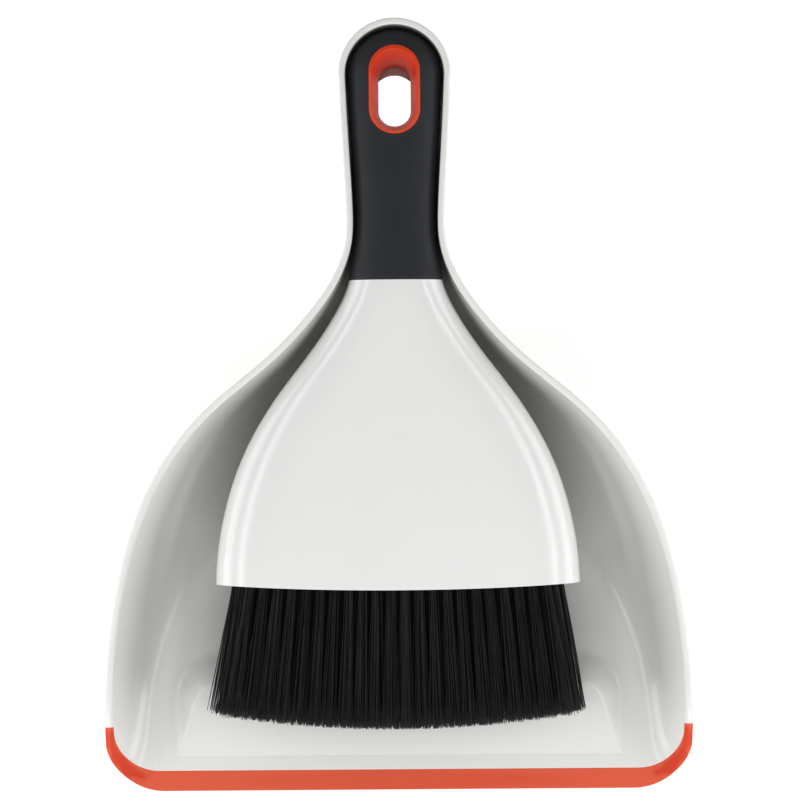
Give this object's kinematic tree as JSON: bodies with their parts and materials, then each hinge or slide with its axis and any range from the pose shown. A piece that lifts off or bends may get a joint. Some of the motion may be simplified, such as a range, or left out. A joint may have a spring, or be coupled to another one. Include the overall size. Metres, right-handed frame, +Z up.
{
  "type": "dustpan and brush",
  "caption": "White dustpan with a soft front lip and a hand brush with a fanned head and black bristles that nests in it and lifts out.",
  "frame": {"origin": "on the ground, under the middle of the dustpan's length and width", "axes": "+X across, +Y from the front lip to the handle tip, +Z up; the two halves mirror over X = 0"},
  "size_m": [0.2514, 0.328, 0.0616],
  "materials": {
    "white_plastic": "glossy moulded polypropylene",
    "orange_rubber": "satin soft strip",
    "orange_plastic": "satin moulded ring",
    "black_rubber": "satin soft grip",
    "bristle_nylon": "fine black filaments",
    "block_plastic": "moulded block",
    "core_plastic": "moulded core",
    "anchor_wire": "flat wire",
    "screw_steel": "plated steel"
  },
  "bodies": {
    "dustpan": {"pan_shell": "white_plastic", "front_lip": "orange_rubber"},
    "brush": {"head_top_cover": "white_plastic", "head_bottom_cover": "white_plastic", "bristle_block": "block_plastic", "tuft_row_1": "bristle_nylon", "tuft_row_2": "bristle_nylon", "tuft_row_3": "bristle_nylon", "tuft_row_4": "bristle_nylon", "tuft_row_5": "bristle_nylon", "anchor_row_1": "anchor_wire", "anchor_row_2": "anchor_wire", "anchor_row_3": "anchor_wire", "anchor_row_4": "anchor_wire", "anchor_row_5": "anchor_wire", "handle_core": "core_plastic", "grip_sleeve": "black_rubber", "hang_ring": "orange_plastic", "cover_screws": "screw_steel"}
  },
  "joints": [
    {"name": "brush_lift", "type": "slide", "parent": "dustpan", "child": "brush", "axis": [0, 0, 1], "range_m": [0, 0.12]}
  ]
}
